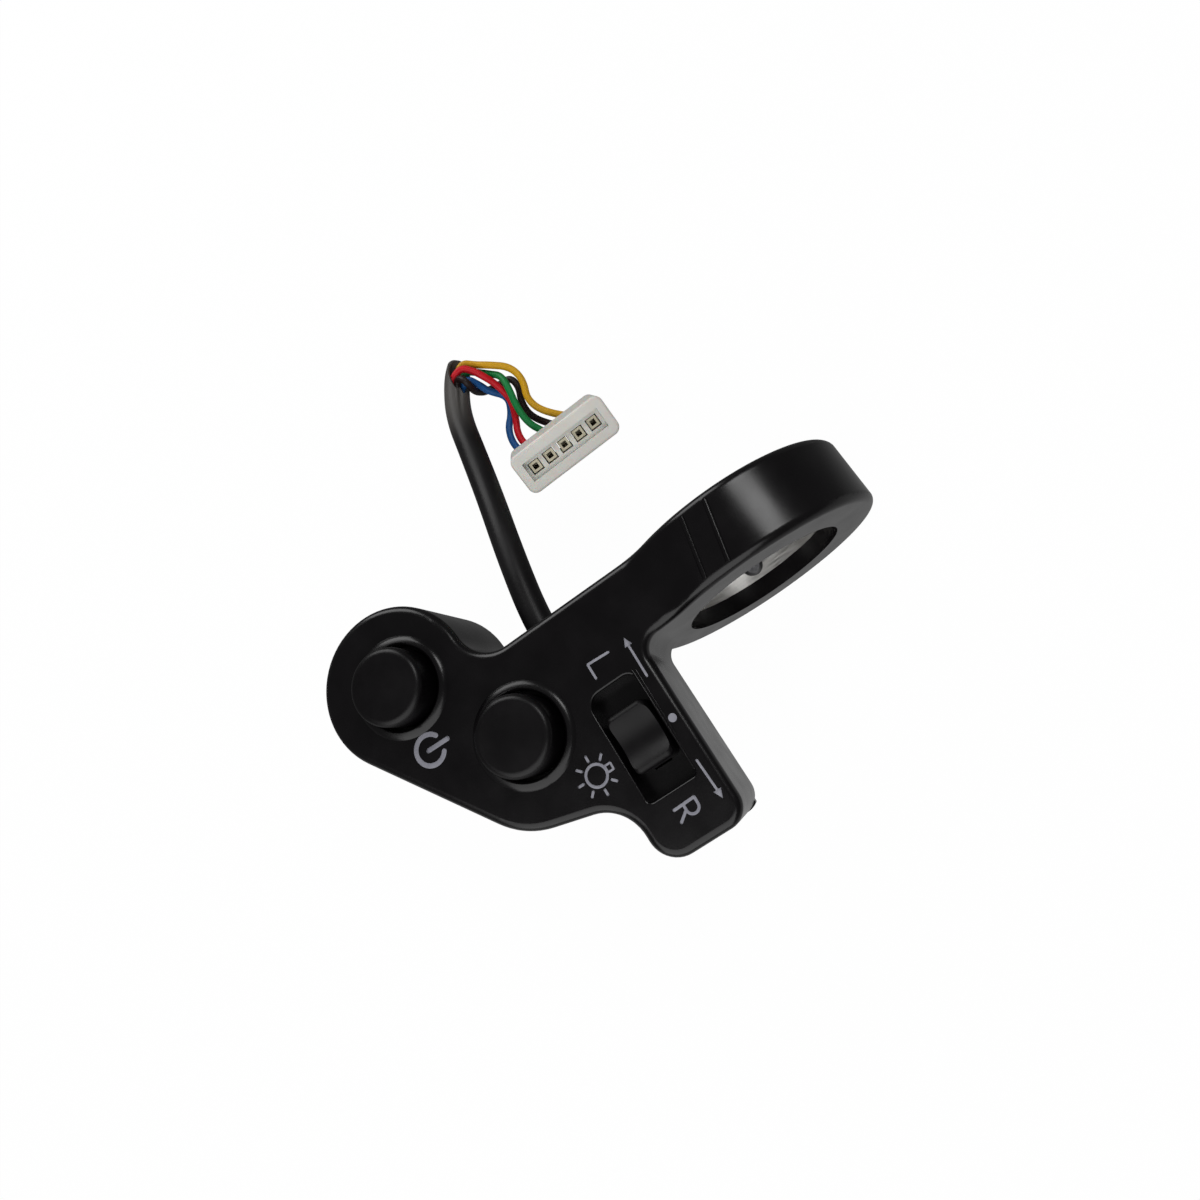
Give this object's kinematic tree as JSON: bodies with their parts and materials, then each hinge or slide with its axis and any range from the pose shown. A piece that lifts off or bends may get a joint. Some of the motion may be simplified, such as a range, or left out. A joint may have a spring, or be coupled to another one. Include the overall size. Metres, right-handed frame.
{
  "type": "handlebar switch",
  "caption": "Handlebar switch for an electric scooter: clamp ring, flat panel with two push buttons and a turn-signal slider, and a short lead with a plug.",
  "frame": {"origin": "centre of the handlebar bore, on its axis, half way along the clamp ring", "axes": "+X along the bar towards the slider's end of the panel, +Y from the panel towards the clamp ring, +Z out of the panel's face, the way the buttons stand"},
  "size_m": [0.0797, 0.0733, 0.0338],
  "materials": {
    "shell": "glossy black moulding",
    "sleeve": "turned bright",
    "screw_steel": "dark zinc",
    "button": "smooth black",
    "knob": "smooth black",
    "board": "green solder mask",
    "switch_body": "moulded",
    "switch_stem": "moulded",
    "contact_metal": "plain",
    "spring_steel": "drawn",
    "can_steel": "tinned",
    "grommet_rubber": "moulded",
    "tie_nylon": "moulded",
    "sheath": "satin",
    "lead_ends": "insulated leads",
    "wire_yellow": "insulation",
    "wire_red": "insulation",
    "wire_green": "insulation",
    "wire_blue": "insulation",
    "wire_black": "insulation",
    "plug_nylon": "off-white nylon"
  },
  "bodies": {
    "switch_shell": {"back_cover": "shell", "board_screws": "screw_steel", "cable_grommet": "grommet_rubber", "cable_sheath": "sheath", "cable_tie": "tie_nylon", "circuit_board": "board", "clamp_sleeve": "sleeve", "cover_screws": "screw_steel", "housing": "shell", "inner_leads": "lead_ends", "light_switch_base": "switch_body", "light_switch_case": "switch_body", "light_switch_pins": "contact_metal", "light_switch_spring": "spring_steel", "plug_contacts": "contact_metal", "plug_housing": "plug_nylon", "power_switch_base": "switch_body", "power_switch_case": "switch_body", "power_switch_pins": "contact_metal", "power_switch_spring": "spring_steel", "slide_switch_base": "switch_body", "slide_switch_can": "can_steel", "slide_switch_pins": "contact_metal", "wire_black": "wire_black", "wire_blue": "wire_blue", "wire_green": "wire_green", "wire_red": "wire_red", "wire_yellow": "wire_yellow"},
    "power_press": {"power_button": "button", "power_switch_plunger": "switch_stem", "power_switch_bridge": "contact_metal"},
    "light_press": {"light_button": "button", "light_switch_plunger": "switch_stem", "light_switch_bridge": "contact_metal"},
    "turn_slide": {"slider_knob": "knob", "slide_switch_lever": "switch_stem", "slide_switch_wiper": "contact_metal"},
    "clamp_feed": {"clamp_screw": "screw_steel"}
  },
  "joints": [
    {"name": "power_press_slide", "type": "slide", "parent": "switch_shell", "child": "power_press", "axis": [0, 0, -1], "range_m": [0, 0.002], "stiffness_N_per_m": 1000, "springref_m": -0.001, "deforming": ["power_switch_spring"]},
    {"name": "light_press_slide", "type": "slide", "parent": "switch_shell", "child": "light_press", "axis": [0, 0, -1], "range_m": [0, 0.002], "stiffness_N_per_m": 1000, "springref_m": -0.001, "deforming": ["light_switch_spring"]},
    {"name": "turn_signal_slide", "type": "slide", "parent": "switch_shell", "child": "turn_slide", "axis": [1, 0, 0], "range_m": [-0.0028, 0.0028]},
    {"name": "clamp_screw_feed", "type": "slide", "parent": "switch_shell", "child": "clamp_feed", "axis": [0, 0, 1], "range_m": [-0.002, 0.0008]}
  ]
}
